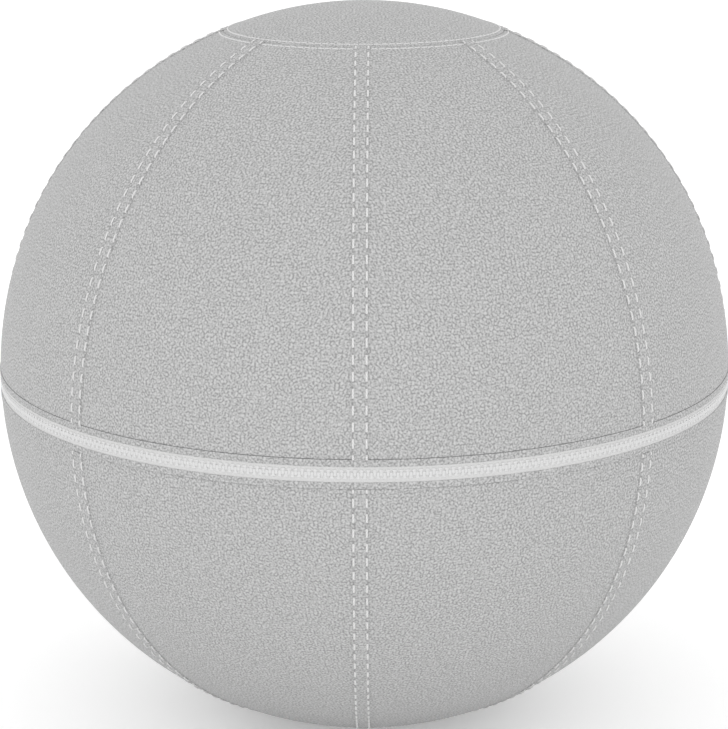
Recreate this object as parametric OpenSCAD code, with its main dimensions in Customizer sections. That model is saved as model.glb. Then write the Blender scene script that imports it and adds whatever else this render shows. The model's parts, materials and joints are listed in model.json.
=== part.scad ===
// Upholstered exercise ball: an inflated bladder inside a sewn leather cover,
// which opens along a zip round its equator.
// The origin is the middle of the flat foot, on the floor. +Z is up.
// The front seam lies at -Y, and the zip's ends lie at the back.

/* [Ball] */
// Diameter over the leather panels
ball_d = 650; // [450:10:850]
// Diameter of the flat foot that the ball's weight presses out
foot_d = 100; // [60:5:140]

/* [Leather cover] */
// Thickness of the leather in panels, caps and bridge
leather_t = 1.2; // [0.8:0.1:2]
// Panels round each half of the cover
panel_count = 8; // [4:1:8]
// Diameter of the seam round each cap
cap_d = 243.8; // [160:0.2:300]
// Gap between two leather edges that are sewn together
seam_gap = 0.4; // [0.2:0.1:1]
// Width of the seam allowance turned under each leather edge
allowance_w = 9; // [6:0.5:14]
// Width of the strip sewn over each upright seam
strip_w = 12.6; // [8:0.2:20]
// Thickness of the strip
strip_t = 1; // [0.6:0.1:1.6]
// How far a strip runs over the cap's edge
strip_over = 2.6; // [1:0.1:3]

/* [Stitching] */
// Diameter of the sewing thread
thread_d = 1.2; // [0.8:0.1:1.6]
// Distance of each stitch row from the middle of a strip
strip_row = 5.2; // [3.5:0.1:8]
// Distance of each stitch row from the cap's seam
cap_row = 3.9; // [3.6:0.1:7]
// How far the middle of the thread stands above the leather
thread_rise = 0.1; // [0:0.05:0.3]

/* [Zip] */
// Height of the opening between the two facings
zip_opening = 11.6; // [11.4:0.1:16]
// Height of the gap between the upper and lower panels
panel_opening = 23.8; // [20:0.2:30]
// Distance of the facing's hidden edge from the middle of the zip
facing_reach = 22; // [19:0.5:30]
// How far the facings stand above the panels
facing_rise = 0.5; // [0.3:0.1:1]
// Thickness of the facing leather
facing_t = 1.1; // [0.8:0.1:1.6]
// Thickness of the woven zip tape
tape_t = 0.7; // [0.5:0.1:1]
// Distance of the tape's sewn edge from the middle of the zip
tape_reach = 18; // [14:0.5:18.5]
// Distance of the tape's toothed edge from the middle of the zip
tape_edge = 2.3; // [2.2:0.05:2.6]
// Spacing of the teeth along one tape
tooth_pitch = 5.06; // [5:0.02:6]
// Thickness of a tooth through the tape
tooth_t = 2.7; // [2:0.1:3.2]
// Width of a tooth's shoulder, along the tape
tooth_w = 3.2; // [2.9:0.1:3.4]
// Half the height of the closed chain of teeth
chain_half = 3.8; // [3.4:0.1:4]
// Width of the leather bridge that joins the halves at the zip's ends
bridge_w = 36; // [24:1:60]
// Direction of the bridge, counter-clockwise from +X
bridge_azimuth = 67.5; // [50:0.5:85]

/* [Slider] */
// Length of the slider along the zip
slider_l = 17; // [16:0.5:22]
// Height of the slider across the zip
slider_w = 10.6; // [10.4:0.1:10.8]
// Thickness of the slider's outer plate
outer_plate_t = 1.6; // [1.2:0.1:2.2]
// Thickness of the slider's inner plate
inner_plate_t = 1.4; // [1:0.1:2]
// Running clearance round the slider and its pull tab
run_gap = 0.3; // [0.25:0.05:0.4]
// Height of the bail above the outer plate
bail_h = 4.2; // [3.8:0.1:5]
// Length of the pull tab from its pivot
tab_l = 31; // [24:1:45]
// Width of the pull tab
tab_w = 9; // [8:0.5:10]
// Thickness of the pull tab and its pivot bar
tab_t = 1.6; // [1.2:0.1:1.8]

/* [Inside] */
// Thickness of the wadding between the cover and the bladder
wadding_t = 4.6; // [3:0.1:12]
// Thickness of the guard behind the zip
guard_t = 0.8; // [0.5:0.1:1.5]
// Wall thickness of the bladder
bladder_t = 1.2; // [0.8:0.1:2]
// Diameter of the valve's neck
valve_d = 14; // [12:0.5:18]
// Diameter of the plug's stem
plug_d = 9; // [7:0.5:9.5]
// Latitude of the valve on the bladder
valve_latitude = -25; // [-50:1:-15]

/* [Hidden] */

$fn = 180;
leather_colour = [0.73, 0.73, 0.73];
thread_colour = [0.86, 0.86, 0.86];
zip_colour = [0.88, 0.88, 0.88];
metal_colour = [0.75, 0.75, 0.77];
lining_colour = [0.8, 0.8, 0.78];
bladder_colour = [0.55, 0.57, 0.6];
eps = 0.01;

// The plies lie this far apart, and sewn pieces sit this far off their seat
ply_gap = 0.1;
seat_gap = 0.05;

// Radii of the plies, from the outside in
ball_r = ball_d / 2;
leather_in = ball_r - leather_t;
allowance_in = leather_in - leather_t;
facing_out = ball_r + facing_rise;
facing_in = facing_out - facing_t;
lining_out = leather_in - ply_gap;
lining_in = lining_out - facing_t;
tape_out = facing_in - ply_gap;
tape_in = tape_out - tape_t;
chain_r = (tape_out + tape_in) / 2;
tooth_out = chain_r + tooth_t / 2;
tooth_in = chain_r - tooth_t / 2;
// A flat plate of the slider's length cuts across the round of the chain by this much
plate_sag = slider_l * slider_l / 8 / chain_r;
outer_plate_in = tooth_out + run_gap;
outer_plate_out = outer_plate_in + outer_plate_t;
inner_plate_out = tooth_in - run_gap - plate_sag;
inner_plate_in = inner_plate_out - inner_plate_t;
padding_out = min(lining_in, allowance_in) - ply_gap;
padding_in = padding_out - wadding_t;
bladder_r = min(padding_in, inner_plate_in - run_gap - guard_t) - run_gap;
bladder_in = bladder_r - bladder_t;
guard_in = bladder_r + run_gap;
guard_out = guard_in + guard_t;
strip_in = ball_r + seat_gap;
strip_out = strip_in + strip_t;

// Height of the ball's middle above the floor
centre_z = sqrt(ball_r * ball_r - foot_d * foot_d / 4);

// Angles from the pole, and along the equator
cap_angle = asin(cap_d / 2 / ball_r);
function arc_angle(length, r = ball_r) = length / r * 180 / PI;
seam_angle = arc_angle(seam_gap / 2);
panel_angle = 360 / panel_count;
front = -90;

// Places along the zip, as arc lengths from the middle of the bridge
zip_length = 2 * PI * chain_r;
stop_l = 3;
bottom_stop_l = 6;
end_gap = 3;
stop_play = 0.5;
stop_from = bridge_w / 2 + end_gap;
slider_at = stop_from + stop_l + stop_play + slider_l / 2;
tooth_from = slider_at;
tooth_to = zip_length - bridge_w / 2 - end_gap - bottom_stop_l - tooth_w;
tooth_count = floor((tooth_to - tooth_from) / tooth_pitch);
bottom_stop_at = tooth_from + tooth_count * tooth_pitch + bottom_stop_l / 2 + stop_play;

// A tooth's form: play between two heads, a head's share of the free width, plastic
// past the tape's edge, slope under the shoulder, and play between a tip and a neck
tooth_play = 0.16;
head_share = 0.6;
grip_web = 0.4;
neck_slope = 0.3;
tip_play = 0.2;
stop_chamfer = 0.7;

// The slider's form: taper to the tail, corners, play and inset of the rails,
// and the wedge's play from the tape, its place behind the mouth and its point
tail_taper = 0.5;
plate_corner = 1;
rail_play = 0.4;
rail_inset = 0.2;
post_play = 0.5;
post_from = 1.2;
post_point = 1.2;

// Heights from the middle of the zip
opening_z = zip_opening / 2;
panel_z = panel_opening / 2;
facing_edge = panel_z - seam_gap / 2;
lining_z = facing_reach + ply_gap;

// ---------------------------------------------------------------- profiles
// Half of a ball's section: the pole is up, and it is cut off flat above the height top
module dome_2d(r, top) {
    intersection() {
        circle(r);
        translate([0, -r]) square([r, r + min(r, top)]);
    }
}

// Section of a shell of the ball between two radii
module shell_2d(r_out, r_in, flat) {
    difference() {
        dome_2d(r_out, flat ? centre_z - (ball_r - r_out) : r_out);
        dome_2d(r_in, flat ? centre_z - (ball_r - r_in) : r_in);
    }
}

// Sector between two angles from the pole
module sector_2d(from_angle, to_angle) {
    middle = (from_angle + to_angle) / 2;
    reach = 2 * ball_r;
    polygon([[0, 0],
             [reach * sin(from_angle), reach * cos(from_angle)],
             [reach * sin(middle), reach * cos(middle)],
             [reach * sin(to_angle), reach * cos(to_angle)]]);
}

// Level band between two heights
module band_2d(z_low, z_high) {
    translate([0, z_low]) square([2 * ball_r, z_high - z_low]);
}

// Section of a band of cloth or leather that steps in under its neighbour: its outside
// lies at the radius r_out up to the height z_step, and at r_under from there on
module stepped_2d(r_out, r_under, t, z_low, z_high, z_step) {
    difference() {
        intersection() {
            shell_2d(r_out, r_under - t, false);
            band_2d(z_low, z_high);
        }
        difference() {
            band_2d(z_step, z_high + 1);
            circle(r_under);
        }
        intersection() {
            band_2d(z_low - 1, z_step - t);
            circle(r_out - t);
        }
    }
}

// Wedge between two upright seams, with its sides moved in by inset
module wedge_2d(inset) {
    half = panel_angle / 2;
    tip = inset / sin(half);
    reach = 2 * ball_r;
    polygon([[tip, 0],
             [tip + reach * cos(half), -reach * sin(half)],
             [tip + reach * cos(half), reach * sin(half)]]);
}

// ---------------------------------------------------------------- placing
module at_centre() {
    translate([0, 0, centre_z]) children();
}

module lower_half() {
    mirror([0, 0, 1]) children();
}

module at_panel(i) {
    rotate([0, 0, front + (i - 0.5) * panel_angle]) children();
}

module at_seam(i) {
    rotate([0, 0, front + (i - 1) * panel_angle]) children();
}

// A place along the zip: X points outwards, Y along the zip and Z up
module along_zip(length) {
    rotate([0, 0, bridge_azimuth + arc_angle(length, chain_r)]) children();
}

// Extrudes a flat shape, drawn with X along the zip and Y up, outwards from a radius
module outwards(r, thickness) {
    translate([r, 0, 0]) rotate([90, 0, 90]) linear_extrude(thickness) children();
}

// ---------------------------------------------------------------- leather
module wedge(inset) {
    linear_extrude(ball_r + 1) wedge_2d(inset);
}

// Ring of thread round the pole, laid on the leather at a distance from the cap's seam
module cap_ring(from_seam, d) {
    angle = cap_angle + arc_angle(from_seam);
    r = ball_r + thread_rise;
    rotate_extrude() translate([r * sin(angle), r * cos(angle)]) circle(d = d, $fn = 24);
}

module cap(flat) {
    difference() {
        rotate_extrude() union() {
            intersection() {
                shell_2d(ball_r, leather_in, flat);
                sector_2d(0, cap_angle - seam_angle);
            }
            intersection() {
                shell_2d(leather_in + eps, allowance_in, false);
                sector_2d(cap_angle - arc_angle(allowance_w), cap_angle - seam_angle);
            }
        }
        cap_ring(-cap_row, thread_d + 2 * seat_gap);
    }
}

module panel() {
    difference() {
        union() {
            intersection() {
                rotate_extrude() intersection() {
                    shell_2d(ball_r, leather_in, false);
                    sector_2d(cap_angle + seam_angle, 90);
                    band_2d(panel_z, ball_r);
                }
                wedge(seam_gap / 2);
            }
            intersection() {
                rotate_extrude() intersection() {
                    shell_2d(leather_in + eps, allowance_in, false);
                    sector_2d(cap_angle + seam_angle, 90);
                    band_2d(lining_z, ball_r);
                }
                linear_extrude(ball_r) difference() {
                    wedge_2d(seam_gap / 2);
                    wedge_2d(allowance_w);
                }
            }
            intersection() {
                rotate_extrude() intersection() {
                    shell_2d(leather_in + eps, allowance_in, false);
                    sector_2d(cap_angle + seam_angle, cap_angle + arc_angle(allowance_w));
                }
                wedge(seam_gap / 2);
            }
        }
        cap_ring(cap_row, thread_d + 2 * seat_gap);
    }
}

// Arc of thread along an upright seam, side being -1 or 1
module seam_row(side, d) {
    r = strip_out + thread_rise;
    row_r = sqrt(r * r - strip_row * strip_row);
    end_play = thread_d - d / 2;
    low = asin((panel_z + end_play) / row_r);
    high = 90 - cap_angle - arc_angle(end_play);
    translate([0, side * strip_row, 0]) rotate([90, 0, 0]) rotate([0, 0, low])
        rotate_extrude(angle = high - low) translate([row_r, 0]) circle(d = d, $fn = 24);
}

// The strip lies on the panels, from the facing's edge to just past the cap's seam
module seam_strip() {
    difference() {
        intersection() {
            rotate_extrude() intersection() {
                shell_2d(strip_out, strip_in, false);
                sector_2d(cap_angle - arc_angle(strip_over), 90);
                band_2d(facing_edge + seat_gap, ball_r);
            }
            translate([0, -strip_w / 2, 0]) cube([strip_out + 1, strip_w, strip_out + 1]);
        }
        for (side = [-1, 1]) seam_row(side, thread_d + 2 * seat_gap);
    }
}

module seam_threads() {
    for (i = [1 : panel_count]) at_seam(i)
        for (side = [-1, 1]) seam_row(side, thread_d);
}

// The ring on the cap goes all round. The ring on the panels stops at each strip.
module cap_threads() {
    angle = cap_angle + arc_angle(cap_row);
    ring_r = (ball_r + thread_rise) * sin(angle);
    ring_z = (ball_r + thread_rise) * cos(angle);
    skip = asin((strip_w / 2 + run_gap) / ring_r);
    cap_ring(-cap_row, thread_d);
    for (i = [1 : panel_count]) at_seam(i) rotate([0, 0, skip])
        rotate_extrude(angle = panel_angle - 2 * skip)
            translate([ring_r, ring_z]) circle(d = thread_d, $fn = 24);
}

// ---------------------------------------------------------------- zip
// The facing stands proud beside the zip, and steps in under the panels' edge
module zip_facing() {
    rotate_extrude()
        stepped_2d(facing_out, lining_out, facing_t, opening_z, facing_reach, facing_edge);
}

module zip_tape() {
    hidden = end_gap + stop_l;
    along_zip(hidden) rotate_extrude(angle = 360 - arc_angle(2 * hidden, chain_r))
        stepped_2d(tape_out, lining_in - ply_gap, tape_t, tape_edge, tape_reach,
                   facing_edge - facing_t - ply_gap);
}

// Slot that the tape's edge fills, through anything moulded or clamped on the tape
module tape_slot(length) {
    translate([tape_in - seat_gap, -length / 2, tape_edge - seat_gap])
        cube([tape_t + 2 * seat_gap, length, chain_half]);
}

// A tooth for the upper tape: a broad shoulder on the tape, a narrow neck, and a head
// that widens downwards behind the heads of the lower teeth
module tooth() {
    free = tooth_pitch / 2 - tooth_play;
    head = head_share * free;
    neck = free - head;
    shoulder_z = tape_edge - grip_web;
    neck_z = shoulder_z - neck_slope;
    head_z = tip_play - neck_z;
    half = tooth_w / 2;
    difference() {
        outwards(tooth_in, tooth_t)
            polygon([[-head, head_z], [head, head_z], [neck, neck_z], [half, shoulder_z],
                     [half, chain_half], [-half, chain_half], [-half, shoulder_z], [-neck, neck_z]]);
        tape_slot(tooth_w + 1);
    }
}

module zip_teeth(shift) {
    for (i = [0 : tooth_count - 1])
        along_zip(tooth_from + (i + shift) * tooth_pitch) tooth();
}

// Clip on the end of one tape, which stops the closed slider
module top_stop() {
    difference() {
        outwards(tooth_in, tooth_t)
            translate([-stop_l / 2, tape_edge - grip_web])
                square([stop_l, chain_half - tape_edge + grip_web]);
        tape_slot(stop_l + 1);
    }
}

module zip_top_stops() {
    along_zip(stop_from + stop_l / 2) {
        top_stop();
        lower_half() top_stop();
    }
}

// Block that joins the two tapes for good and stops the open slider
module zip_bottom_stop() {
    along_zip(bottom_stop_at) difference() {
        outwards(tooth_in, tooth_t) intersection() {
            square([bottom_stop_l, 2 * chain_half], center = true);
            rotate(45) square((bottom_stop_l / 2 + chain_half - stop_chamfer) * sqrt(2), center = true);
        }
        tape_slot(bottom_stop_l + 1);
        lower_half() tape_slot(bottom_stop_l + 1);
    }
}

module zip_bridge() {
    bridge_z = panel_z - seam_gap;
    half_angle = arc_angle(bridge_w / 2, ball_r);
    rotate([0, 0, bridge_azimuth - half_angle]) rotate_extrude(angle = 2 * half_angle)
        intersection() {
            shell_2d(facing_out + seat_gap + leather_t, facing_out + seat_gap, false);
            band_2d(-bridge_z, bridge_z);
        }
}

// ---------------------------------------------------------------- slider
// Outline of a plate: round at the mouth, and slightly narrower at the tail
module plate_2d() {
    half = slider_w / 2;
    tail = half - tail_taper;
    mouth_x = -slider_l / 2 + half;
    tail_x = slider_l / 2 - plate_corner;
    intersection() {
        union() {
            translate([mouth_x, 0]) circle(half);
            polygon([[mouth_x, half], [mouth_x, -half], [tail_x, -tail], [tail_x, tail]]);
            for (side = [-1, 1]) translate([tail_x, side * (tail - plate_corner)])
                circle(plate_corner, $fn = 24);
            translate([tail_x - eps, -tail + plate_corner])
                square([plate_corner + eps, 2 * (tail - plate_corner)]);
        }
        square([slider_l, slider_w], center = true);
    }
}

// The rails hold the shoulders of the teeth from both sides of the chain
module rail_2d(side) {
    rail_in = chain_half + rail_play;
    rail_out = slider_w / 2 - rail_inset;
    intersection() {
        plate_2d();
        translate([-slider_l / 4, side > 0 ? rail_in : -rail_out])
            square([slider_l, rail_out - rail_in]);
    }
}

// The wedge that parts the teeth: blunt at the mouth, and pointed where they meet
module post_2d() {
    blunt = tape_edge - post_play;
    centre_x = -slider_l / 2 + post_from + blunt;
    translate([centre_x, 0]) circle(blunt, $fn = 48);
    polygon([[centre_x, -blunt], [centre_x + blunt + post_point, 0], [centre_x, blunt]]);
}

bail_l = 11;
bail_w = 2.4;
bail_wall = 1.3;
pivot_r = outer_plate_out + run_gap + tab_t / 2;

// The tab's frame: play past the bail, play beside it, its bar, and half its width
frame_play = 1.1;
frame_side = 0.5;
frame_bar = 2;
neck_half = 3.3;

// Side view of the bail: X along the zip, Y outwards from the plate
module bail_2d() {
    corner = 1.8;
    window_corner = 0.8;
    window_l = bail_l - 2 * bail_wall;
    window_h = bail_h - bail_wall;
    difference() {
        union() {
            translate([-bail_l / 2, -eps]) square([bail_l, bail_h - corner + eps]);
            translate([-bail_l / 2 + corner, 0]) square([bail_l - 2 * corner, bail_h]);
            for (side = [-1, 1])
                translate([side * (bail_l / 2 - corner), bail_h - corner]) circle(corner, $fn = 48);
        }
        translate([-window_l / 2, 0]) square([window_l, window_h - window_corner]);
        translate([-window_l / 2 + window_corner, 0])
            square([window_l - 2 * window_corner, window_h]);
        for (side = [-1, 1])
            translate([side * (window_l / 2 - window_corner), window_h - window_corner])
                circle(window_corner, $fn = 24);
    }
}

module slider_body() {
    along_zip(slider_at) union() {
        outwards(outer_plate_in, outer_plate_t) plate_2d();
        outwards(inner_plate_in, inner_plate_t) plate_2d();
        outwards(inner_plate_out - eps, outer_plate_in - inner_plate_out + 2 * eps) post_2d();
        for (side = [-1, 1]) {
            outwards(tape_out + run_gap, outer_plate_in - tape_out - run_gap + eps) rail_2d(side);
            outwards(inner_plate_out - eps, tape_in - run_gap - plate_sag - inner_plate_out + eps)
                rail_2d(side);
        }
        translate([outer_plate_out, 0, -bail_w / 2]) rotate([0, 0, -90])
            mirror([1, 0, 0]) linear_extrude(bail_w) bail_2d();
    }
}

// The tab lies along the closed chain. Its end is a frame round the bail's leg,
// closed by the bar that it turns on.
module tab_2d() {
    frame_in = bail_l / 2 + frame_play;
    frame_out = frame_in + frame_bar;
    window = bail_w / 2 + frame_side;
    end_r = tab_w / 2;
    difference() {
        union() {
            translate([0, -neck_half]) square([frame_out, 2 * neck_half]);
            polygon([[frame_out - eps, -neck_half], [tab_l - end_r, -end_r], [tab_l - end_r, end_r],
                     [frame_out - eps, neck_half]]);
            translate([tab_l - end_r, 0]) circle(end_r);
        }
        translate([-eps, -window]) square([frame_in + eps, 2 * window]);
    }
}

module pull_tab() {
    along_zip(slider_at) {
        outwards(pivot_r - tab_t / 2, tab_t) tab_2d();
        translate([pivot_r, 0, -neck_half]) cylinder(d = tab_t, h = 2 * neck_half, $fn = 48);
    }
}

// ---------------------------------------------------------------- inside
module zip_guard() {
    rotate_extrude() intersection() {
        shell_2d(guard_out, guard_in, false);
        band_2d(-facing_reach, facing_reach);
    }
}

module padding(flat) {
    rotate_extrude() intersection() {
        shell_2d(padding_out, padding_in, flat);
        band_2d(lining_z + ply_gap, ball_r);
    }
}

// The bladder's outward direction at the valve becomes +Z
module at_valve() {
    rotate([0, 0, bridge_azimuth]) rotate([0, 90 - valve_latitude, 0]) children();
}

// The valve: its flange inside the bladder, its neck, and the plug's head, stem and tip
flange_w = 6;
flange_t = 1.4;
seat_sink = 0.2;
seat_l = 13;
head_rim = 1.2;
head_t = 1.5;
stem_l = 9;
tip_l = 4;
tip_taper = 1.4;
plug_wall = 2;
flange_r = valve_d / 2 + flange_w;
flange_top = sqrt(bladder_in * bladder_in - flange_r * flange_r) - ply_gap;
seat_top = bladder_r - seat_sink;
head_r = valve_d / 2 - head_rim;

module bladder() {
    difference() {
        lower_half() rotate_extrude() shell_2d(bladder_r, bladder_in, true);
        at_valve() translate([0, 0, flange_top]) cylinder(d = valve_d + 2 * seat_gap, h = seat_l);
    }
}

module valve_seat() {
    at_valve() rotate_extrude() difference() {
        union() {
            translate([0, seat_top - seat_l]) square([valve_d / 2, seat_l]);
            translate([0, flange_top - flange_t]) square([flange_r, flange_t]);
        }
        translate([-eps, seat_top - seat_l - 1]) square([plug_d / 2 + seat_gap + eps, seat_l + 2]);
        translate([-eps, seat_top - head_t]) square([head_r + seat_gap + eps, head_t + 1]);
    }
}

module valve_plug() {
    stem = plug_d / 2;
    head_z = seat_top - head_t + seat_gap;
    tip_z = head_z - stem_l - tip_l;
    at_valve() rotate_extrude() difference() {
        polygon([[0, seat_top], [head_r, seat_top], [head_r, head_z], [stem, head_z],
                 [stem, head_z - stem_l], [stem - tip_taper, tip_z], [0, tip_z]]);
        translate([-eps, tip_z - 1]) square([stem - plug_wall, stem_l + tip_l + 1 - plug_wall]);
    }
}

// ---------------------------------------------------------------- drawing
color(leather_colour) at_centre() cap(false);  // top_cap
color(leather_colour) at_centre() lower_half() cap(true);  // bottom_cap
for (i = [1 : panel_count]) {
    color(leather_colour) at_centre() at_panel(i) panel();
    color(leather_colour) at_centre() lower_half() at_panel(i) panel();
    color(leather_colour) at_centre() at_seam(i) seam_strip();
    color(leather_colour) at_centre() lower_half() at_seam(i) seam_strip();
}
color(thread_colour) at_centre() seam_threads();  // upper_seam_threads
color(thread_colour) at_centre() lower_half() seam_threads();  // lower_seam_threads
color(thread_colour) at_centre() cap_threads();  // top_cap_threads
color(thread_colour) at_centre() lower_half() cap_threads();  // bottom_cap_threads
color(leather_colour) at_centre() zip_facing();  // upper_zip_facing
color(leather_colour) at_centre() lower_half() zip_facing();  // lower_zip_facing
color(zip_colour) at_centre() zip_tape();  // upper_zip_tape
color(zip_colour) at_centre() lower_half() zip_tape();  // lower_zip_tape
color(zip_colour) at_centre() zip_teeth(0);  // upper_zip_teeth
color(zip_colour) at_centre() lower_half() zip_teeth(0.5);  // lower_zip_teeth
color(metal_colour) at_centre() zip_top_stops();
color(metal_colour) at_centre() zip_bottom_stop();
color(leather_colour) at_centre() zip_bridge();
color(metal_colour) at_centre() slider_body();
color(metal_colour) at_centre() pull_tab();
color(lining_colour) at_centre() zip_guard();
color(lining_colour) at_centre() padding(false);  // upper_padding
color(lining_colour) at_centre() lower_half() padding(true);  // lower_padding
color(bladder_colour) at_centre() bladder();
color(bladder_colour) at_centre() valve_seat();
color(bladder_colour) at_centre() valve_plug();
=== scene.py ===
# %% [markdown]
# # An exercise ball in sewn leather
# The real ball is an air-filled bladder inside a leather cover. Each half of the cover is cut
# as eight tapering panels and a round cap. A strip is sewn over each upright seam with two
# rows of stitches, and a coarse zip runs round the equator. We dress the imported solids, which
# stay where they are, piece by piece, in metres and in the same frame.

# %% Load the fixed frame
import json
import math

import bpy
import numpy as np
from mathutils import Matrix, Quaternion, Vector


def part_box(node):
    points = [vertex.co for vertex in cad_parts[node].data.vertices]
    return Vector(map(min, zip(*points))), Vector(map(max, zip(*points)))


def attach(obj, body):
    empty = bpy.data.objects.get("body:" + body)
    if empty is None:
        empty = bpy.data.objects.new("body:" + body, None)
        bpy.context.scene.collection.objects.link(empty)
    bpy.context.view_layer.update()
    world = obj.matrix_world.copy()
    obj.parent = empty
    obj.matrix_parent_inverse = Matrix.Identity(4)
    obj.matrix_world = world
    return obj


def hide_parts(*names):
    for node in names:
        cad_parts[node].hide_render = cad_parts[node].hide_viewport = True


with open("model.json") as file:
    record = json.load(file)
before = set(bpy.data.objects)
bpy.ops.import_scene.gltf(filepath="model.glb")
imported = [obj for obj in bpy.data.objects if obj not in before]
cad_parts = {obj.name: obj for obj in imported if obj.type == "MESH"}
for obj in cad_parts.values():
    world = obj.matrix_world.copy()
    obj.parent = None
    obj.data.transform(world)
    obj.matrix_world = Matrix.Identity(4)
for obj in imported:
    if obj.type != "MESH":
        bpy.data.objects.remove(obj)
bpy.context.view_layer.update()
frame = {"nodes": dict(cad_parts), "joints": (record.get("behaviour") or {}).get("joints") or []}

print("solids in the frame:", len(frame["nodes"]))

# %% [markdown]
# ## The sizes that everything shares
# The slider's joint turns about the middle of the ball, so its place gives us the centre, and
# the top of the cap gives the radius. The thin plies of leather lie at fixed depths below
# that radius. Naming them once keeps every later piece seated on its neighbour.

# %% Sizes
MM = 0.001
SEAMS = 8
joint_at = {joint["name"]: joint["pos_m"] for joint in frame["joints"]}
CENTRE = Vector((0, 0, joint_at["slider_travel"][2]))
BALL_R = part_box("top_cap")[1].z - CENTRE.z
# Thicknesses of the plies.
LEATHER = 1.2 * MM
STRIP = 0.9 * MM
FACING = 0.8 * MM
TAPE = 0.7 * MM
# Radii of their outer faces, and of the middle of the zip's chain.
STRIP_OUT = BALL_R + 0.85 * MM
FACING_OUT = BALL_R + 0.5 * MM
TAPE_OUT = FACING_OUT - FACING - 0.1 * MM
LINING_OUT = BALL_R - 1.3 * MM
CHAIN_R = BALL_R - 1.05 * MM
# Heights above and below the zip's middle. The lower facing is sewn a little further back.
PANEL_EDGE = 12.05 * MM
FACING_EDGE = 11.85 * MM
OPENING = 6.0 * MM
LOWER_SLACK = 0.45 * MM
TAPE_EDGE = 1.0 * MM
# Gaps between cut edges, a strip's half width and its reach over the cap, and how far the rows
# of stitches lie from their seams.
SEAM_GAP = 0.4 * MM
CAP_GAP = 0.12 * MM
STRIP_HALF = 6.3 * MM
STRIP_OVER = 2.6 * MM
ROW = 5.2 * MM
CAP_ROW = 3.9 * MM
# The cap's seam as an angle from the pole, and as an arc length from the equator.
CAP_SEAM_R = 121.9 * MM
CAP_ANGLE = math.asin(CAP_SEAM_R / BALL_R)
CAP_ARC = (math.pi / 2 - CAP_ANGLE) * BALL_R
PANEL_ANGLE = 2 * math.pi / SEAMS
FRONT = -math.pi / 2
print(f"centre at {CENTRE.z / MM:.2f} mm, radius {BALL_R / MM:.2f} mm")

# %% [markdown]
# ## Helpers for modelling by hand
# An operator works on whatever is selected, and the loaded solids arrive selected. So each
# helper first selects one object alone. `choose` selects points by their place, which is what
# a box or circle selection does with the mouse.

# %% Selecting and cutting
def only(obj):
    bpy.ops.object.select_all(action="DESELECT")
    obj.select_set(True)
    bpy.context.view_layer.objects.active = obj


def points(obj):
    flat = np.zeros(len(obj.data.vertices) * 3)
    obj.data.vertices.foreach_get("co", flat)
    return flat.reshape(-1, 3) + np.array(obj.location)


def choose(obj, mask=None):
    """Selects the points of a mask, or all points, and goes into edit mode."""
    only(obj)
    mesh = obj.data
    mesh.polygons.foreach_set("select", np.zeros(len(mesh.polygons), bool))
    mesh.edges.foreach_set("select", np.zeros(len(mesh.edges), bool))
    chosen = np.ones(len(mesh.vertices), bool) if mask is None else np.asarray(mask, bool)
    mesh.vertices.foreach_set("select", chosen)
    bpy.ops.object.mode_set(mode="EDIT")
    bpy.ops.mesh.select_mode(type="VERT")


def leave():
    bpy.ops.object.mode_set(mode="OBJECT")


def cut(obj, point, normal):
    """Cuts along a plane and throws away the side that the normal points to."""
    choose(obj)
    bpy.ops.mesh.bisect(plane_co=point, plane_no=normal, clear_outer=True)
    leave()


def apply_all(obj):
    only(obj)
    for modifier in list(obj.modifiers):
        bpy.ops.object.modifier_apply(modifier=modifier.name)


def settle(obj):
    """Puts the object's place into its mesh, closes doubles and turns faces outwards."""
    only(obj)
    bpy.ops.object.transform_apply(location=True, rotation=True, scale=True)
    choose(obj)
    bpy.ops.mesh.remove_doubles(threshold=0.003 * MM)
    bpy.ops.mesh.select_all(action="SELECT")
    bpy.ops.mesh.normals_make_consistent(inside=False)
    leave()
    return obj


def smooth(obj, angle=40):
    only(obj)
    bpy.ops.object.shade_smooth_by_angle(angle=math.radians(angle))


print("helpers ready")

# %% [markdown]
# A weight that is painted by place, with a Displace modifier, presses leather in softly. It is
# the same as a soft brush in sculpting, and it leaves the mesh's structure alone.

# %% Pressing, thickening and copying
def ramp(value, start, end):
    """Rises softly from 0 at start to 1 at end."""
    t = np.clip((value - start) / (end - start), 0, 1)
    return t * t * (3 - 2 * t)


def press(obj, depth, weights, direction="NORMAL"):
    """Presses the points in by depth, each by its weight."""
    group = obj.vertex_groups.new(name="press")
    for index in np.nonzero(weights > 0.002)[0]:
        group.add([int(index)], float(weights[index]), "REPLACE")
    modifier = obj.modifiers.new("press", "DISPLACE")
    modifier.vertex_group = group.name
    modifier.strength = -depth
    modifier.mid_level = 0
    modifier.direction = direction
    apply_all(obj)
    obj.vertex_groups.clear()


def thicken(obj, thickness, rounding):
    """Thickens a skin inwards and rounds its edges."""
    modifier = obj.modifiers.new("leather", "SOLIDIFY")
    modifier.thickness = thickness
    modifier.offset = -1
    modifier.use_even_offset = True
    edge = obj.modifiers.new("edge", "BEVEL")
    edge.width = rounding
    edge.segments = 2
    edge.limit_method = "ANGLE"
    edge.angle_limit = math.radians(50)
    apply_all(obj)


def twin(obj, name, turn=0.0, mirrored=False):
    """A copy with a mesh of its own, turned about the ball's axis or mirrored to the lower half."""
    only(obj)
    bpy.ops.object.duplicate(linked=False)
    copy = bpy.context.view_layer.objects.active
    copy.name = name
    copy.rotation_euler = (0, 0, turn)
    if mirrored:
        copy.scale = (1, 1, -1)
        copy.location = 2 * CENTRE
    return settle(copy) if mirrored else place(copy)


def place(obj):
    only(obj)
    bpy.ops.object.transform_apply(location=True, rotation=True, scale=True)
    return obj


def finish_piece(obj, material, body, slot, *nodes):
    obj.data.materials.clear()
    obj.data.materials.append(material)
    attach(obj, body)
    if nodes:
        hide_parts(*nodes)


def triangles(obj):
    return sum(len(face.vertices) - 2 for face in obj.data.polygons)


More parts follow.
